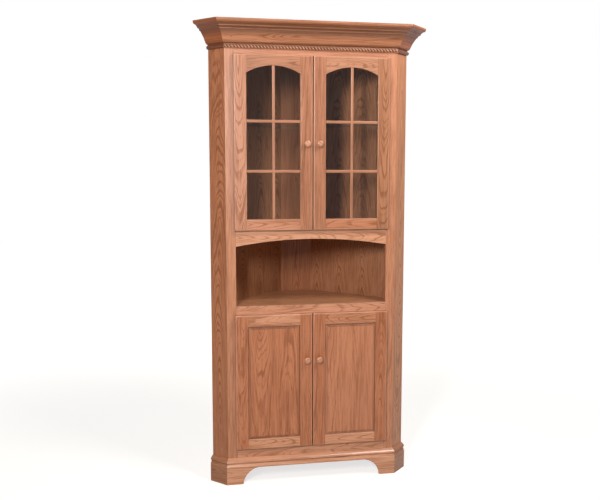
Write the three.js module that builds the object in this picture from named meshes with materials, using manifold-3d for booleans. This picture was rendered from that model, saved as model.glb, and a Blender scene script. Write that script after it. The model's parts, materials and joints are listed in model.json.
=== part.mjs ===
// Oak corner cupboard: glazed doors above an arched display niche, panelled doors below.
// Units are millimetres, +Z is up and the front faces -Y. The origin is on the floor,
// under the middle of the cupboard's outer box.

import * as THREE from 'three';
import { mergeVertices } from 'three/addons/utils/BufferGeometryUtils.js';
import Module from 'manifold-3d';

const wasm = await Module();
wasm.setup();

// Plan sizes
const faceWidth = 765;
const wingWidth = 90.5;
const rearWidth = 139;
const boardThickness = 19;
const wallThickness = 9;
const deckThickness = 18;

// Heights, stacked from the floor up. A rail has the height that shows past the doors
const baseHeight = 118;
const bottomRailHeight = 42;
const lowerDoorHeight = 610;
const middleRailHeight = 38;
const nicheHeight = 295;
const archedRailHeight = 40;
const upperDoorHeight = 754;
const topRailHeight = 24.5;
const ropeHeight = 20.5;
const crownHeight = 88;

// Clearances
const seam = 0.3;
const doorGap = 0.5;
const meetingGap = 3;
const cutOverrun = 5;

// Face frame
const frameStileWidth = 42.5;
const doorOverlay = 6.5;
const nicheArchRise = 30;
const archSegments = 20;

// Doors
const doorThickness = 19;
const doorStileWidth = 56;
const upperBottomRailWidth = 50;
const upperTopRailWidth = 45.5;
const doorArchRise = 32;
const lowerTopRailWidth = 53;
const lowerBottomRailWidth = 47;
const grooveDepth = 8;
const grooveSetback = 7;
const glassThickness = 4;
const panelTongue = 6;
const panelFieldSetback = 2;
const panelBevel = 12;
const muntinWidth = 14;
const muntinThickness = 5;
const muntinRowShares = [0.3155, 0.6416];

// Turned knobs
const knobDiameter = 29;
const knobLength = 25;
const knobFromMeetingEdge = 26;
const lowerKnobDrop = 210;

// Concealed hinges
const hingeCupDiameter = 35;
const hingeCupDepth = 11.5;
const hingeCupFromEdge = 22;
const hingeArmWidth = 14;
const hingeArmThickness = 7;
const hingeArmReach = 17;
const hingeArmSink = 3;
const hingeFootThickness = 6;
const hingeFromDoorEnd = 95;

// Crown, rope moulding and base
const crownReach = 94;
const crownTopWidth = 22;
const crownSeat = 38;
const ropeFilletReach = 4;
const ropeFilletHeight = 4.5;
const baseReach = 17.3;
const baseCapHeight = 36.5;
const footWidth = 66.5;
const footOpeningHeight = 75;
const footRadius = 83;
const footCentreDrop = 7;
const bottomRailLap = 10;

// Shelves
const shelfSetback = 12;
const glassShelfThickness = 8;
const lowerShelfSetback = 60;

// Moulding sections, from the bottom front point up: share of the reach, share of the height
const crownProfileShares = [
  [0.085, 0], [0.145, 0.035], [0.183, 0.085], [0.204, 0.13],
  [0.234, 0.178], [0.266, 0.24], [0.303, 0.305], [0.35, 0.372], [0.41, 0.447], [0.468, 0.518], [0.521, 0.574],
  [0.574, 0.574], [0.574, 0.613], [0.612, 0.655], [0.676, 0.689],
  [0.723, 0.689], [0.723, 0.727], [0.782, 0.787], [0.851, 0.824], [0.883, 0.833],
  [0.915, 0.833], [0.957, 0.852], [0.989, 0.892], [1, 0.932], [1, 1],
];
const baseCapProfileShares = [
  [1, 0], [0.925, 0.055], [0.83, 0.14], [0.74, 0.22], [0.71, 0.3], [0.75, 0.39], [0.89, 0.47],
  [0.965, 0.53], [0.94, 0.6], [0.82, 0.7], [0.62, 0.81], [0.36, 0.91], [0.15, 0.975],
];
const knobProfileShares = [
  [0.5, 0], [0.5, 0.06], [0.42, 0.12], [0.34, 0.24], [0.34, 0.36], [0.46, 0.47], [0.72, 0.54],
  [0.94, 0.62], [1, 0.72], [0.96, 0.83], [0.8, 0.92], [0.52, 0.98],
];
const ropeSegments = 10;
const knobSegments = 28;
const hingeSegments = 24;

// Places that follow from the sizes
const corner = faceWidth / 2;
const openingHalf = corner - frameStileWidth;
const cant = Math.PI / 4;
const mitreSlope = Math.tan(cant / 2);
const diagonal = Math.SQRT2;
const wallLine = corner + wingWidth * diagonal;
const carcassDepth = wallLine - rearWidth / 2;
const depthCentre = (carcassDepth - crownReach) / 2;

const lowerDoorBottom = baseHeight + bottomRailHeight;
const lowerDoorTop = lowerDoorBottom + lowerDoorHeight;
const counterTop = lowerDoorTop + middleRailHeight;
const archCrown = counterTop + nicheHeight;
const upperDoorBottom = archCrown + archedRailHeight;
const upperDoorTop = upperDoorBottom + upperDoorHeight;
const ropeBottom = upperDoorTop + topRailHeight;
const crownBottom = ropeBottom + ropeHeight;
const carcassTop = crownBottom + crownSeat;
const upperDeckTop = upperDoorBottom + doorOverlay;
const cabinetFloorTop = lowerDoorBottom + doorOverlay;

const doorWidth = openingHalf + doorOverlay - meetingGap / 2;
const doorFront = -doorGap - doorThickness;
const glazingHeight = upperDoorHeight - upperTopRailWidth - upperBottomRailWidth;
const muntinLevels = muntinRowShares.map((share) => upperBottomRailWidth + share * glazingHeight);

// Materials
function finish(name, color, roughness, metalness = 0) {
  return new THREE.MeshStandardMaterial({ name, color, roughness, metalness });
}
const paleOak = () => finish('pale oak', 0xcb8a62, 0.45);
const oak = () => finish('honey oak', 0xb97850, 0.45);
const darkOak = () => finish('shaded oak', 0x9c623f, 0.5);
const knobWood = () => finish('turned oak', 0xd09468, 0.4);
const clearGlass = () => finish('clear glass', 0xdfe8e6, 0.05);
const nickel = () => finish('nickel-plated steel', 0xb8b8b4, 0.3, 1);

// Geometry helpers
function add(group, name, geometry, material) {
  const mesh = new THREE.Mesh(geometry, material);
  mesh.name = name;
  group.add(mesh);
  return mesh;
}

function outline(points) {
  return new THREE.Shape(points.map(([x, y]) => new THREE.Vector2(x, y)));
}

// A plan outline raised from one height to another
function slab(points, bottom, top) {
  const geometry = new THREE.ExtrudeGeometry(outline(points), { depth: top - bottom, bevelEnabled: false });
  return geometry.translate(0, 0, bottom);
}

// A front-view shape given its thickness from a front plane to a back plane
function cutFromBoard(shape, front, back) {
  const settings = { depth: back - front, bevelEnabled: false, curveSegments: archSegments };
  return new THREE.ExtrudeGeometry(shape, settings).rotateX(Math.PI / 2).translate(0, back, 0);
}

function rectangle(left, right, bottom, top) {
  return outline([[left, bottom], [right, bottom], [right, top], [left, top]]);
}

function block(left, right, front, back, bottom, top) {
  return cutFromBoard(rectangle(left, right, bottom, top), front, back);
}

// The same shape in a mirror that swaps left and right
function mirrored(geometry) {
  const image = geometry.index ? geometry.toNonIndexed() : geometry;
  const points = image.attributes.position;
  for (let i = 0; i < points.count; i += 3) {
    const [second, third] = [i + 1, i + 2].map((k) => [-points.getX(k), points.getY(k), points.getZ(k)]);
    points.setX(i, -points.getX(i));
    points.setXYZ(i + 1, ...third);
    points.setXYZ(i + 2, ...second);
  }
  image.computeVertexNormals();
  return image;
}

// A rail outline whose lower edge rises in a circular arch
function archedRail(left, right, spring, rise, top) {
  const half = (right - left) / 2;
  const radius = (half * half + rise * rise) / (2 * rise);
  const centre = spring + rise - radius;
  const reach = Math.asin(half / radius);
  const shape = new THREE.Shape();
  shape.moveTo(left, top);
  shape.lineTo(left, spring);
  shape.absarc((left + right) / 2, centre, radius, Math.PI / 2 + reach, Math.PI / 2 - reach, true);
  shape.lineTo(right, top);
  return shape;
}

// A moulding that runs along X with its section, [reach, height], standing out towards -Y.
// Each end is cut on a slope: that much further along for each unit of reach.
function moulding(section, start, startSlope, end, endSlope) {
  const geometry = new THREE.ExtrudeGeometry(outline(section), { depth: 1, bevelEnabled: false });
  const points = geometry.attributes.position;
  for (let i = 0; i < points.count; i += 1) {
    const reach = points.getX(i);
    const height = points.getY(i);
    const along = points.getZ(i) > 0 ? start - reach * startSlope : end + reach * endSlope;
    points.setXYZ(i, along, -reach, height);
  }
  geometry.computeVertexNormals();
  return geometry;
}

// The middle of a raised panel: a board with a bevel round its front field
function raisedBoard(left, right, bottom, top) {
  const back = grooveSetback + seam + panelTongue;
  const rings = [[back, 0], [grooveSetback + seam, 0], [panelFieldSetback, panelBevel]];
  const points = [];
  for (const [y, inset] of rings) {
    points.push(left + inset, y, bottom + inset, right - inset, y, bottom + inset);
    points.push(right - inset, y, top - inset, left + inset, y, top - inset);
  }
  const index = [0, 2, 1, 0, 3, 2];
  const last = (rings.length - 1) * 4;
  for (let ring = 0; ring < last; ring += 4) {
    for (let side = 0; side < 4; side += 1) {
      const a = ring + side;
      const b = ring + ((side + 1) % 4);
      index.push(a, b, b + 4, a, b + 4, a + 4);
    }
  }
  index.push(last, last + 1, last + 2, last, last + 2, last + 3);
  const geometry = new THREE.BufferGeometry();
  geometry.setAttribute('position', new THREE.Float32BufferAttribute(points, 3));
  geometry.setIndex(index);
  return geometry;
}

function solid(geometry) {
  const bare = new THREE.BufferGeometry();
  bare.setAttribute('position', geometry.attributes.position);
  bare.setIndex(geometry.index);
  const merged = mergeVertices(bare, 1e-3);
  return new wasm.Manifold(new wasm.Mesh({
    numProp: 3,
    vertProperties: new Float32Array(merged.attributes.position.array),
    triVerts: new Uint32Array(merged.index.array),
  }));
}

function geometryOf(body) {
  const mesh = body.getMesh();
  const geometry = new THREE.BufferGeometry();
  geometry.setAttribute('position', new THREE.Float32BufferAttribute(mesh.vertProperties, 3));
  geometry.setIndex(Array.from(mesh.triVerts));
  geometry.computeVertexNormals();
  return geometry;
}

// Half the clear inside width, measured at a depth behind the face
function insideHalf(depth) {
  const alongWing = corner + depth - boardThickness * diagonal;
  const alongWall = wallLine - depth - wallThickness * diagonal;
  return Math.min(alongWing, alongWall) - seam * diagonal;
}

// The plan of a board that fills the inside, from a front depth to the rear board
function insidePlan(front) {
  const back = carcassDepth - boardThickness - seam;
  const bend = (wallLine - corner + (boardThickness - wallThickness) * diagonal) / 2;
  const depths = [front, bend, back].filter((depth) => depth >= front);
  const half = depths.map((depth) => [insideHalf(depth), depth]);
  return [...half, ...half.map(([x, y]) => [-x, y]).reverse()];
}

const cupboard = new THREE.Group();
const carcass = new THREE.Group();
carcass.position.y = -depthCentre;
cupboard.add(carcass);

// Face frame: two full-height stiles, mitred to the wings, and four rails between them
const stileMitre = seam / Math.cos(cant / 2);
const stilePlan = [
  [openingHalf, 0],
  [corner - stileMitre, 0],
  [corner - stileMitre - boardThickness * mitreSlope, boardThickness],
  [openingHalf, boardThickness],
];
add(carcass, 'frame_stile_right', slab(stilePlan, 0, carcassTop), paleOak());
add(carcass, 'frame_stile_left', mirrored(slab(stilePlan, 0, carcassTop)), paleOak());

const railEnd = openingHalf - seam;
function straightRail(name, bottom, top, material) {
  add(carcass, name, block(-railEnd, railEnd, 0, boardThickness, bottom, top), material);
}
straightRail('frame_bottom_rail', footOpeningHeight + bottomRailLap, cabinetFloorTop, oak());
straightRail('frame_middle_rail', lowerDoorTop - doorOverlay, counterTop, paleOak());
straightRail('frame_top_rail', upperDoorTop - doorOverlay, carcassTop, paleOak());
const nicheArch = archedRail(-railEnd, railEnd, archCrown - nicheArchRise, nicheArchRise, upperDeckTop);
add(carcass, 'frame_arched_rail', cutFromBoard(nicheArch, 0, boardThickness), paleOak());

// Narrow rear board between the two back walls
const rearFront = carcassDepth - boardThickness;
const rearPlan = [
  [-insideHalf(rearFront), rearFront],
  [insideHalf(rearFront), rearFront],
  [insideHalf(carcassDepth), carcassDepth],
  [-insideHalf(carcassDepth), carcassDepth],
];
add(carcass, 'rear_board', slab(rearPlan, 0, carcassTop), darkOak());

// Fixed decks and shelves
function deck(name, top, thickness, front, material) {
  add(carcass, name, slab(insidePlan(front), top - thickness, top), material);
}
const deckFront = boardThickness + seam;
deck('cabinet_floor', cabinetFloorTop, deckThickness, deckFront, oak());
deck('lower_shelf', (lowerDoorBottom + lowerDoorTop) / 2, deckThickness, lowerShelfSetback, oak());
deck('counter', counterTop, deckThickness, deckFront, oak());
deck('upper_deck', upperDeckTop, deckThickness, deckFront, oak());
deck('top_panel', carcassTop, deckThickness, deckFront, darkOak());
const shelfFront = boardThickness + shelfSetback;
for (const [row, name] of ['glass_shelf_low', 'glass_shelf_high'].entries()) {
  const shelfTop = upperDoorBottom + muntinLevels[row] + glassShelfThickness / 2;
  deck(name, shelfTop, glassShelfThickness, shelfFront, clearGlass());
}

// A half-round bead with a flat fillet above it
function beadSection(top) {
  const radius = (ropeHeight - ropeFilletHeight) / 2;
  const centre = ropeBottom + radius;
  const points = [[seam, ropeBottom]];
  for (let i = 0; i <= ropeSegments; i += 1) {
    const angle = -Math.PI / 2 + (Math.PI * i) / ropeSegments;
    points.push([ropeFilletReach + radius * Math.cos(angle), centre + radius * Math.sin(angle)]);
  }
  points.push([ropeFilletReach, top]);
  return points;
}

// Crown, mitred round the front; its returns carry the bead in one piece with the cove
const crownFront = crownProfileShares.map(([reach, height]) => [
  reach * crownReach,
  crownBottom + height * crownHeight,
]);
const crownBack = [[crownReach - crownTopWidth, crownBottom + crownHeight], [seam, carcassTop]];
const crownSection = [[seam, crownBottom], ...crownFront, ...crownBack];
const returnSection = [...beadSection(crownBottom), ...crownFront, ...crownBack];
const ropeTop = crownBottom - seam;
const ropeSection = [...beadSection(ropeTop), [seam, ropeTop]];

// Base board with a moulded cap
const capBottom = baseHeight - baseCapHeight;
const baseSection = [
  [seam, 0],
  [baseReach, 0],
  ...baseCapProfileShares.map(([reach, height]) => [reach * baseReach, capBottom + height * baseCapHeight]),
  [seam, baseHeight],
];

// The opening between the two bracket feet
function footOpening() {
  const half = corner - footWidth;
  const centre = half - Math.sqrt(footRadius * footRadius - footCentreDrop * footCentreDrop);
  const topAngle = Math.asin((footOpeningHeight + footCentreDrop) / footRadius);
  const floorAngle = Math.asin(footCentreDrop / footRadius);
  const shape = new THREE.Shape();
  shape.moveTo(-half, -cutOverrun);
  shape.lineTo(half, -cutOverrun);
  shape.absarc(centre, -footCentreDrop, footRadius, floorAngle, topAngle, false);
  shape.absarc(-centre, -footCentreDrop, footRadius, Math.PI - topAngle, Math.PI - floorAngle, false);
  return shape;
}

function frontRun(section) {
  return moulding(section, -corner, mitreSlope, corner, mitreSlope);
}
add(carcass, 'crown_front', frontRun(crownSection), oak());
add(carcass, 'rope_moulding', frontRun(ropeSection), paleOak());
const feetCut = solid(cutFromBoard(footOpening(), -baseReach - cutOverrun, cutOverrun));
add(carcass, 'base_front', geometryOf(solid(frontRun(baseSection)).subtract(feetCut)), oak());

// Each side stands in a frame turned to lie along its wing. The right side is drawn,
// with X running back along the wing and Y running inwards, and the left one mirrors it.
const wingPlan = [
  [0, 0],
  [wingWidth, 0],
  [wingWidth, boardThickness],
  [boardThickness * mitreSlope, boardThickness],
];
const wallStart = boardThickness + seam;
const wallEnd = carcassDepth * diagonal - wingWidth;
const wallPlan = [
  [wingWidth, wallStart],
  [wingWidth, wallEnd],
  [wingWidth - wallThickness, wallEnd + wallThickness],
  [wingWidth - wallThickness, wallStart],
];
function wingRun(section) {
  return moulding(section, stileMitre, mitreSlope, wingWidth, 0);
}
for (const [name, side] of [['left', -1], ['right', 1]]) {
  const frame = new THREE.Group();
  frame.position.x = side * corner;
  frame.rotation.z = side * cant;
  carcass.add(frame);
  const handed = (geometry) => (side > 0 ? geometry : mirrored(geometry));
  add(frame, `${name}_wing`, handed(slab(wingPlan, 0, carcassTop)), oak());
  add(frame, `${name}_back_wall`, handed(slab(wallPlan, 0, carcassTop)), darkOak());
  add(frame, `base_${name}`, handed(wingRun(baseSection)), oak());
  add(frame, `crown_${name}`, handed(wingRun(returnSection)), oak());
}

// Doors. Each is drawn as a left-hand door, from its hinge edge at zero towards the middle
// of the cupboard, with its front face at zero and its foot on the ground.
const innerNear = doorStileWidth;
const innerFar = doorWidth - doorStileWidth;
const railLeft = innerNear + seam;
const railRight = innerFar - seam;
const tongueReach = grooveDepth - 2 * seam;
const fillingLeft = innerNear - tongueReach;
const fillingRight = innerFar + tongueReach;

// The groove that runs the full height of a stile
function stileGroove(left, right, height, inset) {
  const back = grooveSetback + inset + 2 * seam;
  return solid(block(left, right, grooveSetback, back, -cutOverrun, height + cutOverrun));
}

function hingeCup(level, clearance, overrun) {
  const radius = hingeCupDiameter / 2 + clearance;
  const length = hingeCupDepth + clearance + overrun;
  const cup = new THREE.CylinderGeometry(radius, radius, length, hingeSegments);
  return solid(cup.translate(hingeCupFromEdge, doorThickness + overrun - length / 2, level));
}

function hinge(level) {
  const bottom = level - hingeArmWidth / 2;
  const top = level + hingeArmWidth / 2;
  const armLeft = hingeCupFromEdge - hingeArmThickness / 2;
  const armRight = hingeCupFromEdge + hingeArmThickness / 2;
  const armBack = doorThickness + hingeArmReach;
  const arm = block(armLeft, armRight, doorThickness - hingeArmSink, armBack, bottom, top);
  const foot = block(doorOverlay + seam, armRight, armBack - hingeFootThickness, armBack, bottom, top);
  return hingeCup(level, 0, 0).add(solid(arm)).add(solid(foot));
}

function hingeStile(height, inset, levels) {
  let stile = solid(block(0, innerNear, 0, doorThickness, 0, height));
  stile = stile.subtract(stileGroove(innerNear - grooveDepth, innerNear + cutOverrun, height, inset));
  for (const level of levels) {
    stile = stile.subtract(hingeCup(level, seam, cutOverrun));
  }
  return geometryOf(stile);
}

function meetingStile(height, inset) {
  const stile = solid(block(innerFar, doorWidth, 0, doorThickness, 0, height));
  const groove = stileGroove(innerFar - cutOverrun, innerFar + grooveDepth, height, inset);
  return geometryOf(stile.subtract(groove));
}

// A rail with a stub tongue at each end, grooved along its inner edge for the filling
function doorRail(shape, tongueBottom, tongueTop, inset, filling) {
  const tongueFront = grooveSetback + seam;
  const tongueBack = tongueFront + inset;
  const tongue = block(fillingLeft, fillingRight, tongueFront, tongueBack, tongueBottom, tongueTop);
  const rail = solid(cutFromBoard(shape, 0, doorThickness));
  return geometryOf(rail.add(solid(tongue)).subtract(filling));
}

// The room that a pane or panel needs in the grooves round it
function fillingRoom(bottom, top, inset) {
  const back = grooveSetback + inset + 2 * seam;
  return solid(block(0, doorWidth, grooveSetback, back, bottom - seam, top + seam));
}

// One upright and two cross bars standing just in front of the glass
function muntinGrille(sill, crown) {
  const middle = doorWidth / 2;
  const half = muntinWidth / 2;
  const span = (railRight - railLeft) / 2;
  const radius = (span * span + doorArchRise * doorArchRise) / (2 * doorArchRise);
  const top = crown - radius + Math.sqrt(radius * radius - half * half) - seam;
  const rightEdge = [[middle + half, sill + seam]];
  for (const level of muntinLevels) {
    rightEdge.push([middle + half, level - half], [railRight, level - half]);
    rightEdge.push([railRight, level + half], [middle + half, level + half]);
  }
  rightEdge.push([middle + half, top]);
  const leftEdge = rightEdge.map(([x, z]) => [2 * middle - x, z]).reverse();
  const back = grooveSetback - seam;
  return cutFromBoard(outline([...rightEdge, ...leftEdge]), back - muntinThickness, back);
}

function turnedKnob(level) {
  const profile = knobProfileShares.map(([radius, length]) => new THREE.Vector2(
    (radius * knobDiameter) / 2,
    length * knobLength,
  ));
  profile.unshift(new THREE.Vector2(0, 0));
  profile.push(new THREE.Vector2(0, knobLength));
  const knob = new THREE.LatheGeometry(profile, knobSegments).rotateX(Math.PI);
  return knob.translate(doorWidth - knobFromMeetingEdge, -seam, level);
}

function frameMembers(height, inset, hingeLevels, knobLevel) {
  return {
    hinge_stile: [hingeStile(height, inset, hingeLevels), paleOak()],
    meeting_stile: [meetingStile(height, inset), paleOak()],
    hinge_low: [geometryOf(hinge(hingeLevels[0])), nickel()],
    hinge_high: [geometryOf(hinge(hingeLevels[1])), nickel()],
    knob: [turnedKnob(knobLevel), knobWood()],
  };
}

function glazedDoor() {
  const height = upperDoorHeight;
  const sill = upperBottomRailWidth;
  const crown = height - upperTopRailWidth;
  const bottom = sill - grooveDepth + seam;
  const top = crown + grooveDepth - seam;
  const front = grooveSetback + seam;
  const room = fillingRoom(bottom, top, glassThickness);
  const sillRail = rectangle(railLeft, railRight, 0, sill);
  const headRail = archedRail(railLeft, railRight, crown - doorArchRise, doorArchRise, height);
  const pane = block(fillingLeft, fillingRight, front, front + glassThickness, bottom, top);
  return {
    ...frameMembers(height, glassThickness, [hingeFromDoorEnd, height - hingeFromDoorEnd], height / 2),
    bottom_rail: [doorRail(sillRail, 0, bottom - seam, glassThickness, room), paleOak()],
    top_rail: [doorRail(headRail, top + seam, height, glassThickness, room), paleOak()],
    glass: [pane, clearGlass()],
    grille: [muntinGrille(sill, crown), paleOak()],
  };
}

function panelledDoor() {
  const height = lowerDoorHeight;
  const sill = lowerBottomRailWidth;
  const head = height - lowerTopRailWidth;
  const bottom = sill - grooveDepth + seam;
  const top = head + grooveDepth - seam;
  const rim = grooveSetback + seam;
  const room = fillingRoom(bottom, top, panelTongue);
  const sillRail = rectangle(railLeft, railRight, 0, sill);
  const headRail = rectangle(railLeft, railRight, head, height);
  const tongue = solid(block(fillingLeft, fillingRight, rim, rim + panelTongue, bottom, top));
  const field = solid(raisedBoard(railLeft, railRight, sill + seam, head - seam));
  return {
    ...frameMembers(
      height,
      panelTongue,
      [hingeFromDoorEnd, height - hingeFromDoorEnd],
      height - lowerKnobDrop,
    ),
    bottom_rail: [doorRail(sillRail, 0, bottom - seam, panelTongue, room), paleOak()],
    top_rail: [doorRail(headRail, top + seam, height, panelTongue, room), paleOak()],
    panel: [geometryOf(tongue.add(field)), paleOak()],
  };
}

// Each door hangs in a group at the foot of its hinge axis, on its outer front arris
for (const [row, bottom, build] of [
  ['upper', upperDoorBottom, glazedDoor],
  ['lower', lowerDoorBottom, panelledDoor],
]) {
  for (const [place, side] of [['left', -1], ['right', 1]]) {
    const door = new THREE.Group();
    door.position.set(side * (openingHalf + doorOverlay), doorFront, bottom);
    carcass.add(door);
    for (const [member, [geometry, material]] of Object.entries(build())) {
      add(door, `${row}_${place}_${member}`, side < 0 ? geometry : mirrored(geometry), material);
    }
  }
}

export default cupboard;
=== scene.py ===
"""Oak corner cupboard: finished boards, carved rope, glass and studio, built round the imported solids."""

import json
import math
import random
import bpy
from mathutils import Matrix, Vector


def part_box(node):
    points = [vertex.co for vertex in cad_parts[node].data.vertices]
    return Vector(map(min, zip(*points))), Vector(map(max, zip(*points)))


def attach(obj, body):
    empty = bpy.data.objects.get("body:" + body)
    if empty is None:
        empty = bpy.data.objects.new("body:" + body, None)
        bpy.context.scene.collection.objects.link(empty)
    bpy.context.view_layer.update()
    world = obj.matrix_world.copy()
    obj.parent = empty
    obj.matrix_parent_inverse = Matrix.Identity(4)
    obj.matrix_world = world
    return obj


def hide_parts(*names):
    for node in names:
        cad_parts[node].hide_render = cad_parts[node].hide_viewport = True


bl_info = {
    "name": "Oak Corner Cupboard",
    "version": (1, 0, 0),
    "blender": (4, 5, 0),
    "location": "3D View > Sidebar > Cupboard",
    "description": "Finishes the boards, mouldings, doors and glass of an oak corner cupboard",
    "category": "Object",
}

import bmesh
import bpy
from bpy.props import FloatProperty, FloatVectorProperty, IntProperty, PointerProperty
from mathutils import Matrix, Vector

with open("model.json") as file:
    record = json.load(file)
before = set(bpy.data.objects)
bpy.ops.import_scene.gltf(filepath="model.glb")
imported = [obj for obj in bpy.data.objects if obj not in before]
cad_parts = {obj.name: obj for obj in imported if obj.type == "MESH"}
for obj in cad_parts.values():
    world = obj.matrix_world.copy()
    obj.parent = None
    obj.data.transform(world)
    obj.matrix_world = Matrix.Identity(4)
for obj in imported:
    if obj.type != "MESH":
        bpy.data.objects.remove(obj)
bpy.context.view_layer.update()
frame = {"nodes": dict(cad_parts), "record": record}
NODES = frame["nodes"]
BODIES = frame["record"]["behaviour"]["bodies"]
BODY_OF = {node: body for body, members in BODIES.items() for node in members}
SLOT_OF = {part["node"]: part["material_slot"] for part in frame["record"]["subparts"]}

MM = 0.001
CANT = 45
MITRE = math.tan(math.radians(CANT / 2))
WELD = 0.01 * MM
TOUCH = 0.05 * MM
FLAT_ANGLE = math.radians(0.2)
ARRIS_ANGLE = math.radians(28)
SMOOTH_ANGLE = math.radians(50)
SAME_AREA = 10 * MM * MM

# The camera, fitted to the photograph: its place, its right hand and its line of sight
CAMERA_PLACE = (-0.629, -3.3595, 1.389)
CAMERA_RIGHT = (0.98416, -0.17726, 0)
CAMERA_SIGHT = (0.17632, 0.97893, -0.10297)
CAMERA_LENS = 43.98
CAMERA_SENSOR = 36

# Two lamps stand either side of the camera, and a weak one behind keeps the back walls readable. The
# strip is a card that only the lacquer mirrors, as a sheen on the left front corner: the place of each,
# its width and height, and whether it lights matt surfaces. Their strength is the share of the plain
# level at which a facing surface is lit
LAMPS = {
    "left_lamp": ((-1.4, -3.2, 2.25), 0.4, 0.9, True),
    "right_lamp": ((1.2, -1.5, 2.95), 0.8, 0.8, True),
    "back_lamp": ((0.5, 3.4, 2.4), 2, 2, True),
    "strip": ((-0.4, -3.2, 1.78), 0.22, 1.4, False),
}
LAMP_AIM = (0, -0.2, 1.1)
FLOOR_SIZE = 24
FLOOR_DROP = 0.3 * MM
# The floor is lifted to this share of white near the cupboard, and to white at the second distance
FLOOR_LIFT = 0.72
FLOOR_FADE = (1.2, 4)


def linear(code):
    """The linear colour of an sRGB hex code."""
    shares = [int(code[i:i + 2], 16) / 255 for i in (0, 2, 4)]
    return [s / 12.92 if s <= 0.04045 else ((s + 0.055) / 1.055) ** 2.4 for s in shares]


def colour(name, code, description):
    return FloatVectorProperty(name=name, description=description, subtype="COLOR", size=3,
                               min=0, max=1, default=linear(code))


def length(name, value, description):
    return FloatProperty(name=name, description=description, unit="LENGTH", min=0, default=value)


def amount(name, value, description="Share of the plain level"):
    return FloatProperty(name=name, description=description, min=0, default=value)


class CupboardOak(bpy.types.PropertyGroup):
    """Colours and figure of the stained oak."""

    latewood: colour("Latewood", "D68C62", "Dense pale wood between the pores")
    earlywood: colour("Earlywood", "A86238", "Open pores, darkened by the stain")
    ring_width: FloatProperty(name="Ring width", description="Width of a year's growth, in millimetres",
                              min=1, default=3.3)
    figure: FloatProperty(name="Figure", description="Strength of the growth rings", subtype="FACTOR",
                          min=0, max=1, default=0.7)


class CupboardSizes(bpy.types.PropertyGroup):
    """Sizes of the worked edges and the carving."""

    board_arris: length("Board arris", 0.6 * MM, "Rounding of a sanded board edge")
    door_rounding: length("Door rounding", 5 * MM, "Rounding of a door's outer front edge")
    sticking: length("Sticking", 4 * MM, "Rounding of the edge round a pane or panel")
    muntin_rounding: length("Muntin rounding", 4 * MM, "Rounding of a glazing bar's front edges")
    rope_pitch: length("Rope pitch", 14 * MM, "Distance from one strand to the next")
    rope_depth: length("Rope depth", 4.5 * MM, "Depth of the valley between two strands")
    rope_steps: IntProperty(name="Rope steps", description="Slices along one strand", min=4, default=8)


class CupboardStudio(bpy.types.PropertyGroup):
    """Lamps and surroundings."""

    left_lamp: amount("Left lamp", 0.68)
    right_lamp: amount("Right lamp", 0.64)
    back_lamp: amount("Back lamp", 0.35)
    strip: amount("Strip", 0.2)
    room: amount("Room", 0.04, "Strength of the light from all round")
    floor: colour("Floor", "BFBAB2", "Colour of the studio floor")


# How much darker a face is drawn. A door's edges, but not where two doors meet, get painted shade with some
# heavier stain;
# the flanks of the glazing bars get painted shade; a panel's bevels get heavier stain and painted shade;
# the valleys between the rope's strands get pooled stain and painted shade; and the rope above them, under
# the fillet, gets painted shade
EDGE_STAIN_AND_SHADE = 0.3
MUNTIN_SHADE = 0.55
BEVEL_STAIN_AND_SHADE = 0.35
VALLEY_STAIN_AND_SHADE = 1
FILLET_SHADE = 0.6

# Grain directions: how a board's own axes, across, through and along, lie in the cupboard
UPRIGHT = Matrix(((1, 0, 0), (0, 1, 0), (0, 0, 1)))
LEVEL = Matrix(((0, 0, 1), (0, 1, 0), (1, 0, 0)))
SHELF = Matrix(((0, 1, 0), (0, 0, 1), (1, 0, 0)))
TURNING = Matrix(((1, 0, 0), (0, 0, 1), (0, 1, 0)))


def turned(axes, degrees):
    """The same board axes on a side that is turned about the upright."""
    return axes @ Matrix.Rotation(math.radians(degrees), 3, "Z").transposed()


# How a board was sawn: its distance from the pith across and through, in millimetres. A board from
# near the middle of the log shows arches, and one from further out shows straight lines
ARCHED = (8, 55)
STRAIGHT = (120, 60)

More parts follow.
